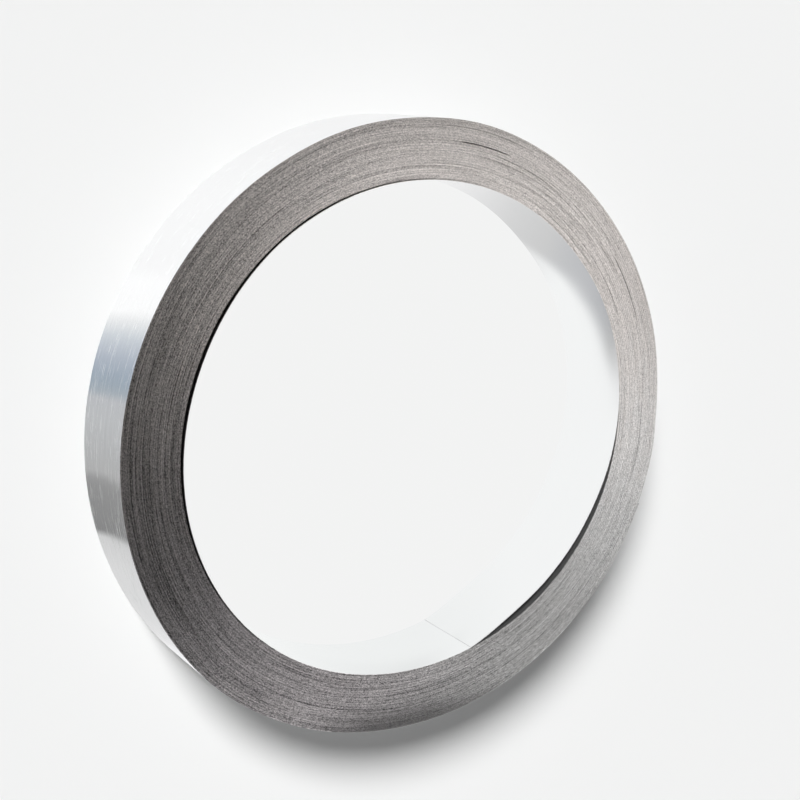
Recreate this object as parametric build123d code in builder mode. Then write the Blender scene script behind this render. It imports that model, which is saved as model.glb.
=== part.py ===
from build123d import *
import os

# A roll of aluminium strip, wound flat on itself round an open bore, lying on one of its ends.
# The origin is the bore's centre at the level of the lower end, the roll's axis is Z, and Z is up.
# Angles are seen from above: they run from +X towards +Y.

# The strip and how it is wound
strip_width = 55.0
strip_thickness = 0.35
turn_count = 107
bore_diameter = 300.0

# The strip's two cut ends: the outer one lies on the roll, the inner one has sprung inwards
outer_end_angle = 338.0
inner_end_angle = 286.5

# The pocket behind the sprung inner end: how deep it is, and how far round it reaches in degrees
pocket_depth = 4.7
pocket_before_end = 6.5
pocket_past_end = 67.5

# The lines between turns that show on the ends, one for each group of about ten turns
line_count = 9
line_depth = 0.6
line_clearance = 1.0

bore_radius = bore_diameter / 2
outer_radius = bore_radius + turn_count * strip_thickness

# The outermost turn steps up by one thickness round the roll, so the turned body stops below it
body_radius = outer_radius - 2 * strip_thickness
first_line_radius = bore_radius + pocket_depth + line_clearance
line_pitch = (outer_radius - first_line_radius) / line_count
middle_line_radius = first_line_radius + line_pitch * (line_count - 1) / 2
line_side = line_depth * 2 ** 0.5

with BuildPart() as strip_roll:
    # Section of the wound body, with a small V between its groups of turns at both ends
    with BuildSketch(Plane.XZ):
        with Locations(((bore_radius + body_radius) / 2, strip_width / 2)):
            Rectangle(body_radius - bore_radius, strip_width)
        with Locations((middle_line_radius, strip_width / 2)):
            with GridLocations(line_pitch, strip_width, line_count, 2):
                Rectangle(line_side, line_side, rotation=45, mode=Mode.SUBTRACT)
    revolve(axis=Axis.Z)

    # The outermost turn winds outwards in two half circles and stops in a square-cut end
    with BuildSketch(Plane.XY.rotated((0, 0, outer_end_angle))):
        with BuildLine():
            start_half = CenterArc((0, 0), outer_radius - strip_thickness, 0, 180)
            end_half = CenterArc((strip_thickness / 2, 0), outer_radius - strip_thickness / 2, 180, 180)
            Line(end_half @ 1, start_half @ 0)
        make_face()
        Circle(body_radius - strip_thickness, mode=Mode.SUBTRACT)
    extrude(amount=strip_width)

    # The pocket's wall is one shallow arc, and what is left in front of it is the sprung inner end
    with BuildSketch(Plane.XY.rotated((0, 0, inner_end_angle))):
        with BuildLine():
            across = CenterArc((0, 0), bore_radius, -pocket_before_end,
                               pocket_before_end + pocket_past_end, mode=Mode.PRIVATE)
            deepest = (across @ 0.5) * (1 + pocket_depth / bore_radius)
            pocket_wall = ThreePointArc(across @ 0, deepest, across @ 1)
            Line(pocket_wall @ 1, pocket_wall @ 0)
        make_face()
        with BuildLine():
            sprung_end = CenterArc((0, 0), bore_radius + strip_thickness, 0, pocket_past_end)
            Line(sprung_end @ 1, (0, 0))
            Line((0, 0), sprung_end @ 0)
        make_face(mode=Mode.SUBTRACT)
    extrude(amount=strip_width, mode=Mode.SUBTRACT)

strip_roll.part.label = "strip_roll"

os.makedirs("parts", exist_ok=True)
export_step(strip_roll.part, "parts/strip_roll.step")
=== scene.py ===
"""A roll of aluminium strip, wound turn on turn, lying on one of its ends.

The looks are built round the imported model, which stays as it is. Lengths are in metres, the roll's axis is Z,
and angles are seen from above, from +X towards +Y.
"""

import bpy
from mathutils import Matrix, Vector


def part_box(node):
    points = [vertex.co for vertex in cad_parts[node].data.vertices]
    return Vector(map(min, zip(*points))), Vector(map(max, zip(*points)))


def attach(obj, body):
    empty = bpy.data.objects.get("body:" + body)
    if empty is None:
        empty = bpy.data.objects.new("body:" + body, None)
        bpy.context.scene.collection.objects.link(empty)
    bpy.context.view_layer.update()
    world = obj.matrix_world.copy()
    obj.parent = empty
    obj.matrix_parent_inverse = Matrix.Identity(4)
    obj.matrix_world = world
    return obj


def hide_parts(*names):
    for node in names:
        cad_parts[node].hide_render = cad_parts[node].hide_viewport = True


bl_info = {
    "name": "Strip Roll",
    "version": (1, 0, 0),
    "blender": (4, 5, 0),
    "location": "View3D > Sidebar > Strip Roll",
    "description": "Builds a wound roll of metal strip, with its turns, its cut ends and a plain studio",
    "category": "Object",
}

import math
import random

import bpy
import numpy as np
from mathutils import Matrix, Vector

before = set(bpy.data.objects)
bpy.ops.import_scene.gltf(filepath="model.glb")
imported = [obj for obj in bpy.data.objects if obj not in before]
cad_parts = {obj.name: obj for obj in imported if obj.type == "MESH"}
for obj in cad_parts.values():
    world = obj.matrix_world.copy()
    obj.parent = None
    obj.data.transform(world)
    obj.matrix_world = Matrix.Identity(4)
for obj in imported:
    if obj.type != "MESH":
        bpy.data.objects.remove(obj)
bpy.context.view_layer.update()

NODE = "strip_roll"
LOW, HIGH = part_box(NODE)
MIDDLE = (LOW.z + HIGH.z) / 2

MM = 0.001
STEPS = 288  # segments round the roll
ROWS = 3  # rows of faces for each turn: its edge, and the two sides of the gap beside it
MIDWALL = 0.17  # a radius inside the wall, which tells the bore's side from the rim's
MAP = "OFBake"  # the name of every piece's map
END_SHARE = 0.88  # the share of a half's map that the turns on its end take


# Sizes and colours

PALE = (0.914, 0.92, 0.915)
BLUISH = (0.34, 0.395, 0.445)


def by_angle(*stops):
    """The stops of a ramp round the roll, from angles in degrees and greys or colours."""
    return [(angle / 360, value if isinstance(value, tuple) else (value,) * 3) for angle, value in stops]


# Painted reflections that the rim shows by its angle: a bright band, a bluish one and grey ones at the left of
# the camera's view
RIM_SECTORS = by_angle(
    (0, 0.86), (35, 0.6), (60, 0.86), (100, 0.87), (130, 0.95), (145, 0.95), (148, 1.0), (151, 0.98),
    (153.2, 0.99), (155.3, (0.81, 0.82, 0.825)), (158, (0.60, 0.64, 0.68)), (161, (0.455, 0.495, 0.56)),
    (164.5, (0.35, 0.405, 0.47)), (167, BLUISH), (168.5, (0.49, 0.50, 0.52)), (172, (0.50, 0.51, 0.52)),
    (177, (0.455, 0.46, 0.465)), (182, 0.42), (183, 0.29), (192.7, 0.24), (193.6, 0.61), (200, 0.67),
    (208, 0.68), (213, 0.70), (217, 0.74), (222, 0.92), (228, 1.0), (280, 0.9), (305, 0.55),
    (330, 0.84), (360, 0.86),
)
RIM_SECTORS_FROM = 167  # the angle that they fan out from

# Painted reflections that the bore shows by its angle: its right side is dark and its lower side a little grey
BORE_SECTORS = by_angle(
    (0, 0.58), (4, 0.42), (9, (0.41, 0.415, 0.43)), (14, (0.44, 0.445, 0.46)), (20, (0.48, 0.485, 0.50)),
    (28, (0.535, 0.54, 0.55)), (35, 0.595), (48, 0.655), (56, 0.72), (65, 0.79), (80, 0.87), (100, PALE),
    (200, PALE), (222, (0.855, 0.867, 0.86)), (262, (0.86, 0.872, 0.865)), (285, (0.87, 0.882, 0.875)),
    (315, PALE), (350, PALE), (356, 0.74), (360, 0.58),
)

# Where the bore and the rim are pushed out of round: the angle, how far outwards and how far round, in mm
BORE_PUSHES = ((43, -0.46, 44), (312, 0.89, 72), (16, 0.85, 79), (267.5, -1.54, 139), (338, 1.48, 84))
RIM_PUSHES = (
    (268, -1.9, 150), (235, -0.4, 60), (295, -0.15, 50), (32, 0.38, 85), (60, 0.38, 85), (13, 0.4, 40),
    (351, 0.4, 28), (77, 0.4, 46), (104, 0.4, 46), (128, 0.2, 46),
)


class StripRollSizes(bpy.types.PropertyGroup):
    """Sizes of the strip and of the roll it is wound into."""

    thickness: bpy.props.FloatProperty(
        name="Strip thickness", description="Thickness of the strip", default=0.35 * MM, unit="LENGTH",
        precision=5,
    )
    turns: bpy.props.IntProperty(
        name="Turns", description="How many times the strip goes round", default=107, min=3,
    )
    radius: bpy.props.FloatProperty(
        name="Outer radius", description="Radius of the roll over its outer end", default=187.45 * MM,
        unit="LENGTH",
    )
    bore_radius: bpy.props.FloatProperty(
        name="Bore radius", description="Mean radius of the bore, before it sags out of round",
        default=151.93 * MM, unit="LENGTH",
    )
    outer_end: bpy.props.FloatProperty(
        name="Outer end", description="Where the strip's outer end lies on the rim",
        default=math.radians(338.0), unit="ROTATION",
    )
    inner_end: bpy.props.FloatProperty(
        name="Inner end", description="Where the strip's inner end lies in the bore, before that sags",
        default=math.radians(285.1), unit="ROTATION",
    )
    play: bpy.props.FloatProperty(
        name="Play", description="Room left at each end of the roll, so that turns can stand a little proud",
        default=0.12 * MM, unit="LENGTH", precision=5,
    )
    gap_depth: bpy.props.FloatProperty(
        name="Gap depth", description="How much deeper than the play the fine gap beside each turn is",
        default=0.16 * MM, unit="LENGTH", precision=5,
    )
    sprung: bpy.props.FloatProperty(
        name="Sprung end", description="How far the innermost turn's end has sprung away from the others",
        default=3.8 * MM, unit="LENGTH",
    )
    loose: bpy.props.FloatProperty(
        name="Loose stretch", description="How far the innermost turn hangs off across from its end",
        default=1.2 * MM, unit="LENGTH",
    )


class StripRollFinish(bpy.types.PropertyGroup):
    """Colours of the strip and of the studio."""

    edge_colour: bpy.props.FloatVectorProperty(
        name="Slit edge", description="Colour of the slit edges that make up the ends of the roll",
        default=(0.503, 0.498, 0.493), subtype="COLOR", size=3, min=0.0, max=1.0,
    )
    face_colour: bpy.props.FloatVectorProperty(
        name="Rolled face", description="Colour of the strip's bright rolled faces",
        default=(0.90, 0.905, 0.91), subtype="COLOR", size=3, min=0.0, max=1.0,
    )
    floor_colour: bpy.props.FloatVectorProperty(
        name="Floor", description="Colour of the studio floor and of what lies behind it",
        default=(0.892, 0.896, 0.893), subtype="COLOR", size=3, min=0.0, max=1.0,
    )


# Modelling by hand: choosing places on a mesh, and moving them


def start_piece():
    """Leaves edit mode and deselects everything, as before any new piece."""
    if bpy.context.mode != "OBJECT":
        bpy.ops.object.mode_set(mode="OBJECT")
    bpy.ops.object.select_all(action="DESELECT")


def take(piece):
    """Makes this the one selected and active object."""
    start_piece()
    piece.select_set(True)
    bpy.context.view_layer.objects.active = piece


def numbers(items, name, kind, width=1):
    """One property of all vertices, edges, faces or corners, as an array."""
    found = np.empty(len(items) * width, kind)
    items.foreach_get(name, found)
    return found.reshape(-1, width) if width > 1 else found


def places(piece):
    return numbers(piece.data.vertices, "co", np.float32, 3).astype(float)


def angles_and_radii(piece):
    """Each vertex's angle round the roll, from 0 to 360 degrees, and its distance from the axis."""
    co = places(piece)
    return np.degrees(np.arctan2(co[:, 1], co[:, 0])) % 360, np.hypot(co[:, 0], co[:, 1])


def nearest(piece, angle):
    """The vertices of a ring or ribbon that lie on its segment line nearest to an angle."""
    angles, _ = angles_and_radii(piece)
    far = np.abs((angles - angle + 180) % 360 - 180)
    return far < far.min() + 0.1


def second_half(piece, start):
    """The vertices in the half of a turn that is further from where it starts."""
    angles, _ = angles_and_radii(piece)
    return (angles - start) % 360 >= 180


def pick(piece, chosen):
    """Opens a piece in edit mode with just these vertices selected, and the edges and faces between them."""
    take(piece)
    mesh = piece.data
    chosen = np.asarray(chosen, bool)
    mesh.vertices.foreach_set("select", chosen)
    mesh.edges.foreach_set("select", chosen[numbers(mesh.edges, "vertices", np.int32, 2)].all(1))
    if len(mesh.polygons):
        corners = chosen[numbers(mesh.loops, "vertex_index", np.int32)]
        starts = numbers(mesh.polygons, "loop_start", np.int32)
        mesh.polygons.foreach_set("select", np.logical_and.reduceat(corners, starts))
    bpy.ops.object.mode_set(mode="EDIT")
    bpy.ops.mesh.select_mode(type="VERT")


def heading(angle):
    """The direction out from the axis at an angle in degrees."""
    return Vector((math.cos(math.radians(angle)), math.sin(math.radians(angle)), 0))


def move(piece, chosen, offset):
    pick(piece, chosen)
    bpy.ops.transform.translate(value=offset)
    bpy.ops.object.mode_set(mode="OBJECT")


def spread(piece, chosen, share):
    """Scales these vertices away from the roll's axis, or towards it where share is below 1."""
    pick(piece, chosen)
    bpy.ops.transform.resize(value=(share, share, 1), center_override=(0, 0, 0))
    bpy.ops.object.mode_set(mode="OBJECT")


def push(piece, chosen, angle, distance, reach, connected=True):
    """Pushes these vertices outwards from the axis at an angle, and their neighbours with them, less and less
    as far as reach."""
    pick(piece, chosen)
    bpy.ops.transform.translate(
        value=heading(angle) * distance, use_proportional_edit=True, use_proportional_connected=connected,
        proportional_edit_falloff="SMOOTH", proportional_size=reach,
    )
    bpy.ops.object.mode_set(mode="OBJECT")


def sag(piece):
    """Takes a round ring or ribbon out of round, as the bore is: longer one way than the other, a little off
    the roll's centre, and uneven near the strip's inner end."""
    pick(piece, np.ones(len(piece.data.vertices), bool))
    bpy.ops.transform.resize(
        value=(1.006, 0.994, 1), orient_type="GLOBAL", orient_matrix=(heading(15), heading(105), (0, 0, 1)),
        orient_matrix_type="GLOBAL", center_override=(0, 0, 0),
    )
    bpy.ops.transform.translate(value=(1.46 * MM, 1.0 * MM, 0))
    bpy.ops.object.mode_set(mode="OBJECT")
    for angle, distance, reach in BORE_PUSHES:
        push(piece, nearest(piece, angle), angle, distance * MM, reach * MM)


def settle(piece, end):
    """Takes a ring or ribbon at the rim out of round: it stands out a little where the strip's outer end lies
    on it, and is flatter below."""
    beside_end = ((end - 14, 0.65, 46), (end - 5, 0.75, 46), (end + 6, 0.65, 46), (end + 10, 0.35, 30))
    for angle, distance, reach in beside_end + RIM_PUSHES:
        push(piece, nearest(piece, angle), angle, distance * MM, reach * MM, connected=False)


def wind_outwards(piece, chosen, angle, thickness, radius):
    """Moves the second half of a turn out, so that the turn ends one thickness further out than it starts."""
    spread(piece, chosen, 1 + thickness / 2 / radius)
    move(piece, chosen, heading(angle) * (thickness / 2))


def shade(piece, angle):
    take(piece)
    bpy.ops.object.shade_smooth_by_angle(angle=math.radians(angle))


def give_frame(piece):
    """Hangs a finished piece under the root body's empty and hides the imported part that it stands for."""
    start_piece()
    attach(piece, "root")
    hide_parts(NODE)


# Materials


def calculate(tree, operation, values):
    """Adds a Math node that works on wires and numbers."""
    node = tree.nodes.new("ShaderNodeMath")
    node.operation = operation
    for place, value in zip(node.inputs, values):
        if isinstance(value, Wire):
            tree.links.new(value.socket, place)
        else:
            place.default_value = value
    return Wire(tree, node.outputs[0])


class Wire:
    """A socket that can be summed, multiplied and compared as a number is in Python."""

    def __init__(self, tree, socket):
        self.tree, self.socket = tree, socket

    def math(self, operation, *others):
        return calculate(self.tree, operation, (self, *others))

    def __add__(self, other):
        return self.math("ADD", other)

    def __sub__(self, other):
        return self.math("SUBTRACT", other)

    def __rsub__(self, other):
        return calculate(self.tree, "SUBTRACT", (other, self))

    def __mul__(self, other):
        return self.math("MULTIPLY", other)

    def __truediv__(self, other):
        return self.math("DIVIDE", other)

    def __pow__(self, other):
        return self.math("POWER", other)

    def __gt__(self, other):
        return self.math("GREATER_THAN", other)

    def __lt__(self, other):
        return self.math("LESS_THAN", other)

    __radd__, __rmul__ = __add__, __mul__


class Finish:
    """One material or world, and the one way its nodes are added."""

    def __init__(self, owner):
        owner.use_nodes = True
        self.owner, self.tree = owner, owner.node_tree
        self.tree.nodes.clear()

    def node(self, kind, settings=None, inputs=None, output=0):
        """Adds a node, sets its settings, then its sockets, and gives back one of its outputs."""
        made = self.tree.nodes.new(kind)
        for name, value in (settings or {}).items():
            if name == "stops":
                ramp = made.color_ramp.elements
                while len(ramp) < len(value):
                    ramp.new(0.5)
                for stop, (place, shade_there) in zip(ramp, value):
                    stop.position, stop.color = place, (*shade_there, 1)
            else:
                setattr(made, name, value)
        for name, value in (inputs or {}).items():
            if isinstance(value, Wire):
                self.tree.links.new(value.socket, made.inputs[name])
            else:
                made.inputs[name].default_value = value
        return Wire(self.tree, made.outputs[output])

    def parts(self, vector):
        """The x, y and z of a vector."""
        split = self.node("ShaderNodeSeparateXYZ", None, {"Vector": vector})
        return [Wire(self.tree, socket) for socket in split.socket.node.outputs]

    def place(self):
        """Where a point lies: its x, y and z."""
        return self.parts(self.node("ShaderNodeTexCoord", output="Object"))

    def on_map(self):
        """From a point's place on the map, how far along its turn it lies, from 0 to 1, and on which turn."""
        along, up, _ = self.parts(self.node("ShaderNodeUVMap", {"uv_map": MAP}))
        return along, up * (bpy.context.scene.strip_roll_sizes.turns / END_SHARE)

    def ray(self, kind):
        """1 for rays of this kind, and 0 for others."""
        return self.node("ShaderNodeLightPath", output=kind)

    def smooth(self, value, low, high):
        """0 below low and 1 above high, and smooth in between."""
        return self.node(
            "ShaderNodeMapRange", {"interpolation_type": "SMOOTHSTEP", "clamp": True},
            {"Value": value, "From Min": low, "From Max": high},
        )

    def mix(self, share, first, second):
        """One colour turning into another."""
        return self.node(
            "ShaderNodeMix", {"data_type": "RGBA", "clamp_factor": True},
            {0: share, 6: colour(first), 7: colour(second)}, output=2,
        )

    def streaks(self, x, y, length, across, detail=2.0, rough=0.5, seed=0.0):
        """A noise that changes slowly along the strip, in about this length, and fast across it."""
        spot = self.node("ShaderNodeCombineXYZ", None, {"X": x / length, "Y": y / length, "Z": across})
        return self.node(
            "ShaderNodeTexNoise", {"noise_dimensions": "4D"},
            {"Vector": spot, "Scale": 1.0, "Detail": detail, "Roughness": rough, "W": seed},
        )

    def dashes(self, along, turn):
        """Short dashes of a random grey, one after the other on each turn."""
        spot = self.node("ShaderNodeCombineXYZ", None, {"X": (along + turn * 0.37).math("FLOOR"), "Y": turn})
        return self.node("ShaderNodeTexWhiteNoise", {"noise_dimensions": "2D"}, {"Vector": spot})

    def metal(self, inputs):
        """A shader with these values and links on its sockets."""
        return self.node("ShaderNodeBsdfPrincipled", None, inputs)

    def end(self, surface, kind="ShaderNodeOutputMaterial"):
        """Leads a shader out to the surface, and gives back what it finishes."""
        self.tree.links.new(surface.socket, self.tree.nodes.new(kind).inputs["Surface"])
        return self.owner


def colour(value):
    """A colour as a socket takes it."""
    return value if isinstance(value, Wire) else (*value[:3], 1)


def tinted(value, *tint):
    """A colour with its red, green and blue multiplied by three numbers, or all by one."""
    return [min(c * t, 1.0) for c, t in zip(value, tint * 3)]


def from_centre(x, y):
    """How far a place lies from the axis, seen from above."""
    return (x * x + y * y) ** 0.5


def slit_edge_material(colours):
    """The dull slit edges: a grey that differs from turn to turn and along each one, with a fine grain."""
    finish = Finish(bpy.data.materials.new("slit_edges"))
    x, y, _ = finish.place()
    along, turn = finish.on_map()
    left, each, pair = x * -1, turn.math("FLOOR"), (turn * 0.5).math("FLOOR")

    # Patterns along the turns: long lines, soft bands over several turns, threads, grains and dashes
    line = finish.streaks(x, y, 0.06, pair * 3.7, rough=0.6, seed=1.3).math("MINIMUM", 0.57)
    band = finish.streaks(x, y, 0.07, turn / 3.2, seed=7.7)
    thread = finish.streaks(x, y, 0.09, each * 2.3, detail=1.0, seed=4.4)
    grain = finish.dashes(along * 2000, each)
    dash = finish.dashes(along * 600, each)
    stripe = (turn * 1.4 + band * 6).math("SINE")

    # How strong they are in each part of the end: lines at the lower left, grains at the left and below, and
    # threads at the left and at the top. The marks are the edges' own; that they grow stronger at the left,
    # away from the lamps, is painted light, as that side's reflection shows them up more.
    lines = (x * -4.0 + y * -2.6 + 1.5).math("MAXIMUM", 0.6)
    grains = x * -2.0 + y * -0.7 + 0.9 - finish.smooth(left, 0.14, 0.175) * 0.3
    threads = finish.smooth(left + y * 0.5, 0.0, 0.1)
    stripes = finish.smooth(left, 0.08, 0.15) * 0.025 + 0.07
    shade_there = (band - 0.5) * 0.15 + (grain - 0.5) * 0.65 + (dash - 0.5) * (threads * -0.2 + 0.2)
    shade_there = shade_there * grains + (line - 0.5) * 0.6 * lines + (thread - 0.5) * 0.65 * threads + 0.5
    shade_there = shade_there + stripe * stripes

    def tone(*tint):
        """The slit edges' colour with a tint, from dark to bright."""
        plain = tinted(colours.edge_colour, *tint)
        return finish.mix(shade_there, tinted(plain, 0.1), [min(c * 1.9, 0.98) for c in plain])

    uneven = finish.streaks(x, y, 0.012, turn / 9, seed=8.8)
    base = finish.mix(finish.smooth(left, -0.08, 0.06), tone(1, 1, 1), tone(1.0, 0.955, 0.975))
    base = finish.mix(finish.smooth(y + uneven * 0.12, -0.04, 0.16), base, tone(1.05, 0.97, 0.94))

    # Painted shade: the outer turns are darker towards the bottom of the camera's view, as if the roll stood on
    # a floor there.
    lean = (x + 0.01).math("ABSOLUTE") * 0.5
    painted_floor_shade = finish.smooth(from_centre(x, y), 0.157, 0.188) * finish.smooth(y * -1 - lean, 0.12, 0.175)
    base = finish.mix(painted_floor_shade * 0.85, base, tinted(colours.edge_colour, 0.24))
    return finish.end(finish.metal({"Base Color": base, "Metallic": 1.0, "Roughness": 0.285}))


def rolled_face_material(colours):
    """The strip's bright faces, with the fine lines of rolling and a few scratches along their length. In the
    bore they are hardly worn."""
    finish = Finish(bpy.data.materials.new("rolled_face"))
    x, y, z = finish.place()
    fine = finish.streaks(x, y, 0.04, z / 0.0004, detail=3.0, rough=0.6, seed=2.2)
    broad = finish.streaks(x, y, 0.09, z / 0.004, seed=5.9)
    marks = finish.streaks(x, y, 0.014, z / 0.0006, detail=1.0, seed=9.4)
    scratch = finish.smooth(marks, 0.62, 0.69)
    outside = finish.smooth(from_centre(x, y), 0.16, 0.17)
    worn = outside * 0.95 + 0.05
    lined = finish.smooth(x * -1, 0.153, 0.172) * 1.5 + 0.3
    dark, bright = (tinted(colours.face_colour, tint) for tint in (0.88, 1.06))
    height = (fine * 0.5 + broad * 0.5 + scratch * 0.3) * worn
    bump = finish.node("ShaderNodeBump", None, {"Height": height, "Strength": 0.35, "Distance": 0.04 * MM})
    rough = ((fine - 0.5) * 0.5 + (broad - 0.5) * 0.2 + scratch * 0.35) * worn + 0.145
    return finish.end(finish.metal({
        "Base Color": finish.mix((fine - 0.5) * lined + 0.5, dark, bright),
        "Metallic": scratch * outside * -0.35 + 1,
        "Roughness": rough,
        "Normal": bump,
    }))


def oily_face_material(colours):
    """The strip's face where the turns lie apart, with a film of oil left on it that takes the light."""
    finish = Finish(bpy.data.materials.new("oily_face"))
    dull = colour(tinted(colours.face_colour, 0.42))
    return finish.end(finish.metal({"Base Color": dull, "Metallic": 0.89, "Roughness": 0.4}))


def set_materials(piece, which):
    """Gives each face its finish: 0 is a slit edge, 1 a rolled face and 2 an oily face. The finishes are made
    for the first piece and shared by the others."""
    made = [bpy.data.materials.get(name) for name in ("slit_edges", "rolled_face", "oily_face")]
    if None in made:
        colours = bpy.context.scene.strip_roll_finish
        made = [slit_edge_material(colours), rolled_face_material(colours), oily_face_material(colours)]
    for material in made:
        piece.data.materials.append(material)
    piece.data.polygons.foreach_set("material_index", np.asarray(which, np.int32))


def wrap_map(piece, share_of_face):
    """Lays the piece out for its finish: along the roll from left to right, and what share_of_face gives,
    from 0 to 1, from bottom to top. share_of_face takes each corner's face and vertex."""
    mesh = piece.data
    angles, _ = angles_and_radii(piece)
    vertex = numbers(mesh.loops, "vertex_index", np.int32)
    starts = numbers(mesh.polygons, "loop_start", np.int32)
    counts = numbers(mesh.polygons, "loop_total", np.int32)
    face = np.repeat(np.arange(len(starts)), counts)
    along = angles[vertex] / 360
    low = np.minimum.reduceat(along, starts)[face]
    high = np.maximum.reduceat(along, starts)[face]
    along += (high - low > 0.5) & (along < 0.5)
    layer = mesh.uv_layers.new(name=MAP)
    uv = np.stack([along, share_of_face(face, vertex)], 1)
    layer.uv.foreach_set("vector", uv.astype(np.float32).ravel())


# The wound turns


def ring(radius, level, weight):
    """A circle of edges round the axis, whose weight in the group across says which edge it is: 0 for the
    bore's and 1 for the rim's."""
    start_piece()
    bpy.ops.mesh.primitive_circle_add(
        vertices=STEPS, radius=radius, location=(0, 0, level), fill_type="NOTHING",
    )
    bpy.ops.object.transform_apply(location=True, rotation=True, scale=True)
    made = bpy.context.object
    made.vertex_groups.new(name="across").add(range(STEPS), weight, "REPLACE")
    return made


def roll_end(name, level, sizes):
    """One end of the roll as a flat face from the bore to the rim, with each vertex's row across the wall."""
    outer_end, inner_end = math.degrees(sizes.outer_end), math.degrees(sizes.inner_end)
    outer_radius = sizes.radius - 2 * sizes.thickness
    outer = ring(outer_radius, level, 1.0)
    wind_outwards(outer, second_half(outer, outer_end), outer_end, sizes.thickness, outer_radius)
    settle(outer, outer_end)

    inner = ring(sizes.bore_radius, level, 0.0)
    later = second_half(inner, inner_end)
    sag(inner)
    wind_outwards(inner, later, inner_end, sizes.thickness, sizes.bore_radius)
    for angle, share, reach in ((128, 0.97, 188), (187, 0.97, 134)):
        push(inner, nearest(inner, angle), angle, sizes.loose * share, reach * MM)

    take(outer)
    inner.select_set(True)
    bpy.ops.object.join()
    piece = bpy.context.object
    piece.name = piece.data.name = name
    rows = (sizes.turns - 2) * ROWS
    bpy.ops.object.mode_set(mode="EDIT")
    bpy.ops.mesh.select_all(action="SELECT")
    bpy.ops.mesh.bridge_edge_loops(type="SINGLE", number_cuts=rows - 1, interpolation="LINEAR")
    bpy.ops.object.mode_set(mode="OBJECT")
    across = np.array([vertex.groups[0].weight for vertex in piece.data.vertices])
    return piece, np.rint(across * rows).astype(int)


def part_turns(piece, rows, outward, sizes):
    """Makes the turns of a flat end: an edge for each with a narrow gap beside it, at uneven heights."""
    turns = sizes.turns - 2
    widen = 0.06 * MM / (sizes.radius - 2 * sizes.thickness)
    inside, outside = rows % ROWS == 1, rows % ROWS == 2
    angles, _ = angles_and_radii(piece)
    spread(piece, inside, 1 - widen)
    spread(piece, outside, 1 + widen)
    move(piece, rows % ROWS == 0, (0, 0, -outward * (sizes.play + sizes.gap_depth)))

    # The strip is as wide all along, so where a turn is proud at one end it is low at the other, and both
    # halves draw the same heights. The last three turns go down towards the outermost one.
    classes = 9
    turn = np.clip((rows - 1) // ROWS, 0, turns - 1)
    column = np.rint(angles / 360 * STEPS).astype(int) % STEPS
    heights = stretches(21, turns, classes, 5)
    heights[-3:] = ((4,), (2,), (0,))
    for step in range(classes):
        height = (2 * step / (classes - 1) - 1) * 0.15 * sizes.play
        move(piece, (inside | outside) & (heights[turn, column] == step), (0, 0, height))
    open_gaps(piece, rows, angles, outward)


def stretches(seed, turns, classes, changes):
    """For each turn and segment a number below classes, that changes about so many times in a turn."""
    draw = np.random.default_rng(seed)
    change = np.cumsum(draw.random((turns, STEPS)) < changes / STEPS, axis=1)
    return np.take_along_axis(draw.integers(0, classes, (turns, change.max() + 1)), change, axis=1)


def open_gaps(piece, rows, angles, outward):
    """Opens the gap between turns here and there: two cracks that stand out, many fine ones at the upper
    right of the photo's view, and many faint ones all round."""
    draw = random.Random(11)
    turns = rows.max() // ROWS
    fine, faint = [], []
    for turn in range(11, 63, 2):
        start = draw.uniform(18, 60)
        fine.append((turn, start, start + draw.uniform(8, 26)))
    for _ in range(150):
        start = draw.uniform(0, 360)
        faint.append((draw.randrange(1, turns), start, start + draw.uniform(3, 22)))
    for arcs, width, depth in (
        ([(round(0.645 * turns), 69, 80)], 0.165, 1.98),
        ([(round(0.64 * turns), 18, 33)], 0.12, 1.44),
        (fine, 0.035, 0.55),
        (faint, 0.035, 0.35),
    ):
        open_gap(piece, rows, angles, arcs, outward, width * MM, depth * MM)


def open_gap(piece, rows, angles, arcs, outward, width, depth):
    """Deepens the gap along each arc, given as (turn, start, stop), and moves the edges beside it apart."""
    bottom, inside, outside = (np.zeros(len(rows), bool) for _ in range(3))
    for turn, start, stop in arcs:
        within = (angles - start) % 360 <= stop - start
        bottom |= within & (rows == turn * ROWS)
        inside |= within & (rows == turn * ROWS - 1)
        outside |= within & (rows == turn * ROWS + 1)
    move(piece, bottom, (0, 0, -outward * depth))
    spread(piece, inside, 1 - width / MIDWALL)
    spread(piece, outside, 1 + width / MIDWALL)


def close_half(piece, rows, drop):
    """Adds walls down to the roll's middle, in the bore and under the outermost turn, and a floor between
    them. The walls' lower edges are row -1."""
    for row in (0, rows.max()):
        pick(piece, rows == row)
        bpy.ops.mesh.extrude_region_move(TRANSFORM_OT_translate={"value": drop})
        bpy.ops.object.mode_set(mode="OBJECT")
        rows = np.append(rows, np.full(len(piece.data.vertices) - len(rows), -1))
    pick(piece, rows == -1)
    bpy.ops.mesh.bridge_edge_loops(type="SINGLE")
    bpy.ops.mesh.select_all(action="SELECT")
    bpy.ops.mesh.normals_make_consistent(inside=False)
    bpy.ops.object.mode_set(mode="OBJECT")
    return rows


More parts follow.
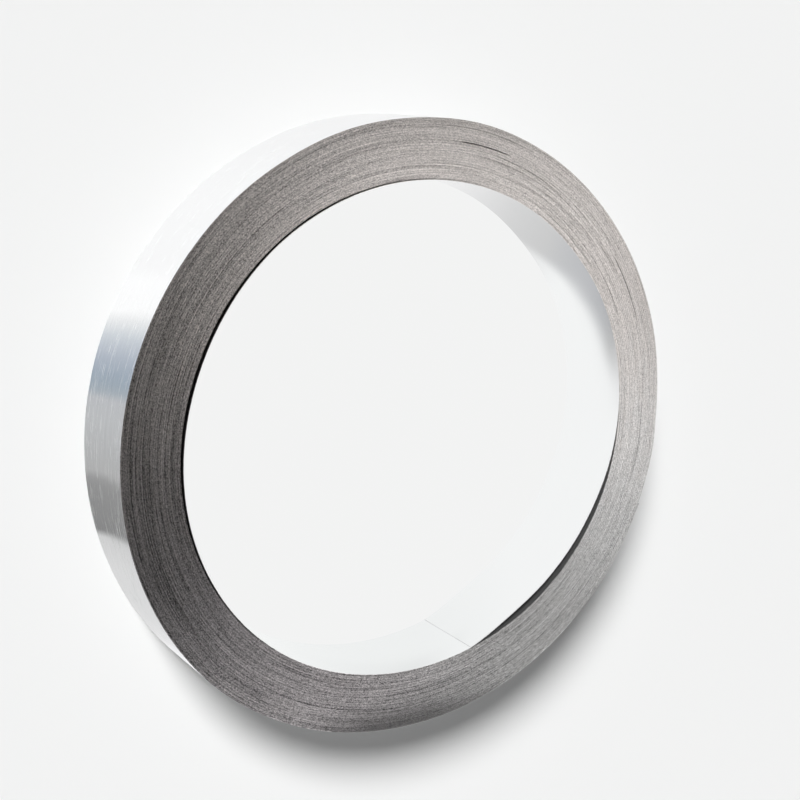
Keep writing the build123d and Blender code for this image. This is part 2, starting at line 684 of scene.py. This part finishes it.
def half_finish(piece, rows, outward):
    """The finishes and the map of one half: the turns' edges one above the other, and above them the wall in
    the bore and the one under the outermost turn."""
    normals = numbers(piece.data.polygons, "normal", np.float32, 3)
    middles = numbers(piece.data.polygons, "center", np.float32, 3)
    corner_rows = rows[numbers(piece.data.loops, "vertex_index", np.int32)]
    wall = np.minimum.reduceat(corner_rows, numbers(piece.data.polygons, "loop_start", np.int32)) < 0
    upright = wall & (np.abs(normals[:, 2]) < 0.5)
    in_bore = upright & (np.hypot(middles[:, 0], middles[:, 1]) < MIDWALL)
    set_materials(piece, wall.astype(int) + in_bore)
    level = places(piece)[:, 2]
    top = HIGH.z if outward > 0 else LOW.z

    def share(face, vertex):
        on_end = rows[vertex] / rows.max() * END_SHARE
        on_wall = np.clip((level[vertex] - MIDDLE) / (top - MIDDLE), 0, 1) * 0.04
        return np.where(wall[face], np.where(in_bore[face], 0.90, 0.95) + on_wall, on_end)

    wrap_map(piece, share)


class OBJECT_OT_strip_roll_turns(bpy.types.Operator):
    """Builds the turns between the innermost and the outermost, as an upper and a lower half"""

    bl_idname = "object.strip_roll_turns"
    bl_label = "Wound Turns"

    def execute(self, context):
        sizes = context.scene.strip_roll_sizes
        for name, outward, top in (("upper_turns", 1, HIGH.z), ("lower_turns", -1, LOW.z)):
            level = top - outward * sizes.play
            piece, rows = roll_end(name, level, sizes)
            part_turns(piece, rows, outward, sizes)
            drop = abs(level - MIDDLE) - sizes.play - sizes.gap_depth
            rows = close_half(piece, rows, Vector((0, 0, -outward * drop)))
            half_finish(piece, rows, outward)
            shade(piece, 32)
            give_frame(piece)
        return {"FINISHED"}


# The innermost and the outermost turn


def ribbon(name, inner_radius, start, sizes, rounding, cuts):
    """One turn of the strip as a closed ribbon, from the angle start once round, that stands on the floor.
    The first and the last section lie in the same place until the turn is wound outwards."""
    start_piece()
    thickness = sizes.thickness
    width = HIGH.z - LOW.z - 2 * sizes.play
    out = heading(start)
    centre = out * (inner_radius + thickness / 2) + Vector((0, 0, LOW.z + width / 2))
    bpy.ops.mesh.primitive_plane_add(
        size=1, location=centre, rotation=(math.pi / 2, 0, math.radians(start)),
    )
    bpy.ops.object.transform_apply(location=True, rotation=True, scale=True)
    piece = bpy.context.object
    piece.name = piece.data.name = name
    bpy.ops.object.mode_set(mode="EDIT")
    bpy.ops.mesh.select_all(action="SELECT")
    bpy.ops.transform.resize(
        value=(thickness, 1, width), orient_type="GLOBAL", orient_matrix_type="GLOBAL",
        orient_matrix=(out, heading(start + 90), (0, 0, 1)), center_override=centre,
    )
    bpy.ops.mesh.bevel(offset=rounding, segments=3, affect="VERTICES")
    bpy.ops.object.mode_set(mode="OBJECT")

    # The two long sides get cuts across the strip.
    mesh = piece.data
    co = places(piece)
    ends = numbers(mesh.edges, "vertices", np.int32, 2)
    long_side = np.abs(co[ends[:, 0], 2] - co[ends[:, 1], 2]) > width / 2
    pick(piece, np.isin(np.arange(len(co)), ends[long_side].ravel()))
    bpy.ops.mesh.select_mode(type="EDGE")
    bpy.ops.object.mode_set(mode="OBJECT")
    mesh.edges.foreach_set("select", long_side)
    mesh.polygons.foreach_set("select", np.zeros(len(mesh.polygons), bool))
    bpy.ops.object.mode_set(mode="EDIT")
    bpy.ops.mesh.subdivide(number_cuts=cuts)

    # The section goes once round the axis.
    bpy.ops.mesh.select_mode(type="FACE")
    bpy.ops.mesh.select_all(action="SELECT")
    bpy.ops.mesh.spin(
        steps=STEPS, angle=2 * math.pi, center=(0, 0, 0), axis=(0, 0, -1), use_auto_merge=False,
    )
    bpy.ops.mesh.select_all(action="SELECT")
    bpy.ops.mesh.normals_make_consistent(inside=False)
    bpy.ops.object.mode_set(mode="OBJECT")
    return piece


def sections(piece, start):
    """Each vertex's section, from 0 to STEPS. The first and last lie in one place, so they are told apart by
    the order in which the spin made them."""
    angles, _ = angles_and_radii(piece)
    found = np.rint((angles - start) % 360 / 360 * STEPS).astype(int) % STEPS
    each = len(found) // (STEPS + 1)
    at_start = np.flatnonzero(found == 0)
    if len(at_start) != 2 * each:
        raise RuntimeError(f"{piece.name}: its first and last section have {len(at_start)} vertices")
    found[at_start[each:]] = STEPS
    return found


def finish_ribbon(piece):
    """The finishes and the map of a ribbon: its outer face, its inner face and its two slit edges, one above
    the other."""
    normals = numbers(piece.data.polygons, "normal", np.float32, 3)
    middles = numbers(piece.data.polygons, "center", np.float32, 3)
    outwards = (normals[:, :2] * middles[:, :2]).sum(1) / np.hypot(middles[:, 0], middles[:, 1])
    below = normals[:, 2] < -0.1
    faces_out = (outwards > 0.98) | (below & (outwards > 0.3))
    faces_in = (outwards < -0.98) | (below & (outwards < -0.3))
    co = places(piece)
    height = (co[:, 2] - LOW.z) / (HIGH.z - LOW.z)
    _, radii = angles_and_radii(piece)
    through = np.clip((radii - np.median(radii)) / (2 * MM) + 0.5, 0, 1) * 0.03

    def share(face, vertex):
        flat = height[vertex] * 0.44
        edge = np.where(height[vertex] > 0.5, 0.92, 0.96) + through[vertex]
        return np.where(faces_out[face], flat, np.where(faces_in[face], 0.46 + flat, edge))

    wrap_map(piece, share)
    set_materials(piece, faces_out | faces_in)
    shade(piece, 12)
    give_frame(piece)


class OBJECT_OT_strip_roll_outer_turn(bpy.types.Operator):
    """Builds the outermost turn, which winds outwards over its own start and stops in a square-cut end"""

    bl_idname = "object.strip_roll_outer_turn"
    bl_label = "Outermost Turn"

    def execute(self, context):
        sizes = context.scene.strip_roll_sizes
        start = math.degrees(sizes.outer_end)
        inner_radius = sizes.radius - 2 * sizes.thickness
        piece = ribbon("outer_turn", inner_radius, start, sizes, 0.1 * MM, 9)
        section = sections(piece, start)
        wind_outwards(piece, section >= STEPS / 2, start, sizes.thickness, inner_radius)
        settle(piece, start)
        push(piece, section == STEPS, start, 0.42 * MM, 14 * MM)
        finish_ribbon(piece)
        return {"FINISHED"}


class OBJECT_OT_strip_roll_inner_turn(bpy.types.Operator):
    """Builds the innermost turn, whose end has sprung away from the turns behind it"""

    bl_idname = "object.strip_roll_inner_turn"
    bl_label = "Innermost Turn"

    def execute(self, context):
        sizes = context.scene.strip_roll_sizes
        start = math.degrees(sizes.inner_end)
        inner_radius = sizes.bore_radius - sizes.thickness
        piece = ribbon("inner_turn", inner_radius, start, sizes, 0.08 * MM, 5)
        section = sections(piece, start)
        sag(piece)
        wind_outwards(piece, section >= STEPS / 2, start, sizes.thickness, sizes.bore_radius)
        for past_end, share, reach in ((38, 1.0, 106), (19, 0.53, 58), (9.5, 0.5, 43)):
            column = section == round(past_end / 360 * STEPS)
            push(piece, column, start + past_end, -sizes.sprung * share, reach * MM)
        push(piece, section == round(232.5 / 360 * STEPS), 157.5, -sizes.loose * 0.83, 94 * MM)
        finish_ribbon(piece)
        return {"FINISHED"}


# The studio


def painted_reflections(finish, x, y, angle, outside):
    """Painted reflections, which the floor shows only to the rays that the strip's bright faces mirror: a paler
    and a darker sector here and there, as if things stood round the roll."""
    from_rim = from_centre(x, y) - bpy.context.scene.strip_roll_sizes.radius
    fanned = (angle - RIM_SECTORS_FROM) / (from_rim * 7.5 + 1) + RIM_SECTORS_FROM
    by_rim = finish.node("ShaderNodeValToRGB", {"stops": RIM_SECTORS}, {"Fac": fanned / 360})
    in_bore = finish.node("ShaderNodeValToRGB", {"stops": BORE_SECTORS}, {"Fac": angle / 360})

    # Past a round border the dark sectors at the right are pale again.
    kept = finish.smooth(angle, 24.0, 56.0) * (angle < 340.0)
    past_border = finish.smooth(from_centre(x - 0.018, y - 0.047), 0.108, 0.1145)
    in_bore = finish.mix(past_border, in_bore, finish.mix(kept, PALE, in_bore))

    # Painted shade in the reflection: the lower wall is a little darker towards the upper end.
    away = finish.smooth(from_centre(x + 0.022, y + 0.006), 0.126, 0.132)
    below = finish.smooth(angle, 225, 250) * (1 - finish.smooth(angle, 284, 297))
    in_bore = finish.mix((1 - away) * below, in_bore, (0.75, 0.762, 0.756))
    return finish.mix(outside, in_bore, by_rim)


def floor_material(colours):
    """A pale floor that keeps the roll's shadow outside the bore."""
    finish = Finish(bpy.data.materials.new("studio_floor"))
    x, y, _ = finish.place()
    outside = from_centre(x, y) > MIDWALL
    angle = y.math("ARCTAN2", x) * (180 / math.pi)
    angle = angle + (angle < 0.0) * 360
    pale = colour(colours.floor_colour)
    plain = finish.node("ShaderNodeBsdfDiffuse", None, {"Color": pale})
    glow = finish.node("ShaderNodeEmission", None, {"Color": pale, "Strength": 1.0})
    # Painted reflections: a glow that only reflected rays see.
    reflection_glow = finish.node(
        "ShaderNodeEmission", None,
        {"Color": painted_reflections(finish, x, y, angle, outside), "Strength": 1.13},
    )
    share = finish.ray("Is Camera Ray") * (outside * -0.92 + 1)
    floor = finish.node("ShaderNodeMixShader", None, {0: share, 1: plain, 2: glow})
    return finish.end(
        finish.node("ShaderNodeMixShader", None, {0: finish.ray("Is Glossy Ray"), 1: floor, 2: reflection_glow}),
    )


def studio_world(colours):
    """Pale behind the roll, and dim where it lights the floor. What the roll mirrors of it is an even grey
    with one dark stretch, which the upper end mirrors in the photo's view."""
    finish = Finish(bpy.context.scene.world)
    spot = finish.node("ShaderNodeTexCoord", output="Generated")
    _, _, height = finish.parts(spot)
    facing = finish.node(
        "ShaderNodeVectorMath", {"operation": "DOT_PRODUCT"}, {0: spot, 1: (0.511, -0.2345, 0.827)}, output=1,
    )
    dark = finish.smooth(height, 0.1, 0.5) * finish.smooth(facing, 0.72, 0.92)
    level = finish.ray("Is Glossy Ray") * (dark * -0.44 + 0.35) + 0.1
    pale = colour(colours.floor_colour)
    behind = finish.node("ShaderNodeBackground", None, {"Color": pale, "Strength": 1.0})
    light = finish.node("ShaderNodeBackground", None, {"Color": (1, 1, 1, 1), "Strength": level})
    finish.end(
        finish.node("ShaderNodeMixShader", None, {0: finish.ray("Is Camera Ray"), 1: light, 2: behind}),
        "ShaderNodeOutputWorld",
    )


def lamp(name, place, size, power):
    """A soft square lamp that points at the roll."""
    start_piece()
    turn = Vector(place).to_track_quat("Z", "Y").to_euler()
    bpy.ops.object.light_add(type="AREA", location=place, rotation=turn)
    made = bpy.context.object
    made.name = name
    made.data.shape = "SQUARE"
    made.data.size = size
    made.data.energy = power
    made.visible_camera = False
    made.visible_diffuse = False


def window_light():
    """The light from a large far window, which throws the roll's shadow."""
    start_piece()
    turn = Vector((-0.44, 0.66, 0.61)).to_track_quat("Z", "Y").to_euler()
    bpy.ops.object.light_add(type="SUN", location=(0, 0, 2), rotation=turn)
    made = bpy.context.object
    made.name = "window_light"
    made.data.energy = 4.6
    made.data.angle = math.radians(18)
    made.visible_glossy = False


def photo_camera():
    """The camera as it stood for the photo, rolled so that the roll shows upright as it does there."""
    right, up = Vector((0.85064, 0, 0.52575)), Vector((0.12329, 0.97211, -0.19948))
    back = right.cross(up)
    aim, distance = Vector((0.00457, 0.01602, 0.0275)), 0.89774
    turn = Matrix((right, up, back)).transposed().to_euler()
    start_piece()
    bpy.ops.object.camera_add(location=aim + back * distance, rotation=turn)
    made = bpy.context.object
    made.name = "camera"
    made.data.sensor_width = 36
    made.data.lens = 66.18
    made.data.shift_x, made.data.shift_y = -0.5 / 800, 0.5 / 800
    made.data.clip_start = 0.01
    made.data.clip_end = 50
    return made


class SCENE_OT_strip_roll_studio(bpy.types.Operator):
    """Sets up the floor, the lamps, the pale surroundings and the camera"""

    bl_idname = "scene.strip_roll_studio"
    bl_label = "Studio"

    def execute(self, context):
        colours = context.scene.strip_roll_finish
        start_piece()
        bpy.ops.mesh.primitive_plane_add(size=16, location=(0, 0, LOW.z))
        floor = bpy.context.object
        floor.name = "studio_floor"
        floor.data.materials.append(floor_material(colours))
        if context.scene.world is None:
            bpy.ops.world.new()
            context.scene.world = bpy.data.worlds[-1]
        studio_world(colours)
        lamp("side_lamp", (1.585, -0.375, 2.275), 0.8, 7.0)
        lamp("low_lamp", (0.29, -0.33, 0.24), 0.6, 0.8)
        lamp("left_lamp", (0.02, -0.40, 0.25), 0.5, 0.075)
        window_light()
        context.scene.camera = photo_camera()
        context.scene.view_settings.view_transform = "Standard"
        return {"FINISHED"}


# The add-on


class VIEW3D_PT_strip_roll(bpy.types.Panel):
    """Sizes, colours and the steps of the build, in order"""

    bl_label = "Strip Roll"
    bl_space_type = "VIEW_3D"
    bl_region_type = "UI"
    bl_category = "Strip Roll"

    def draw(self, context):
        for group in (context.scene.strip_roll_sizes, context.scene.strip_roll_finish):
            box = self.layout.box()
            for name in group.bl_rna.properties.keys():
                if name not in ("name", "rna_type"):
                    box.prop(group, name)
        for step in (
            OBJECT_OT_strip_roll_turns, OBJECT_OT_strip_roll_outer_turn, OBJECT_OT_strip_roll_inner_turn,
            SCENE_OT_strip_roll_studio,
        ):
            self.layout.operator(step.bl_idname)


CLASSES = (
    StripRollSizes,
    StripRollFinish,
    OBJECT_OT_strip_roll_turns,
    OBJECT_OT_strip_roll_outer_turn,
    OBJECT_OT_strip_roll_inner_turn,
    SCENE_OT_strip_roll_studio,
    VIEW3D_PT_strip_roll,
)


def register():
    for kind in CLASSES:
        bpy.utils.register_class(kind)
    bpy.types.Scene.strip_roll_sizes = bpy.props.PointerProperty(type=StripRollSizes)
    bpy.types.Scene.strip_roll_finish = bpy.props.PointerProperty(type=StripRollFinish)


def unregister():
    del bpy.types.Scene.strip_roll_finish
    del bpy.types.Scene.strip_roll_sizes
    for kind in reversed(CLASSES):
        bpy.utils.unregister_class(kind)


def main():
    """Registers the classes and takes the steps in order."""
    register()
    bpy.ops.object.strip_roll_turns()
    bpy.ops.object.strip_roll_outer_turn()
    bpy.ops.object.strip_roll_inner_turn()
    bpy.ops.scene.strip_roll_studio()


if __name__ == "__main__":
    main()
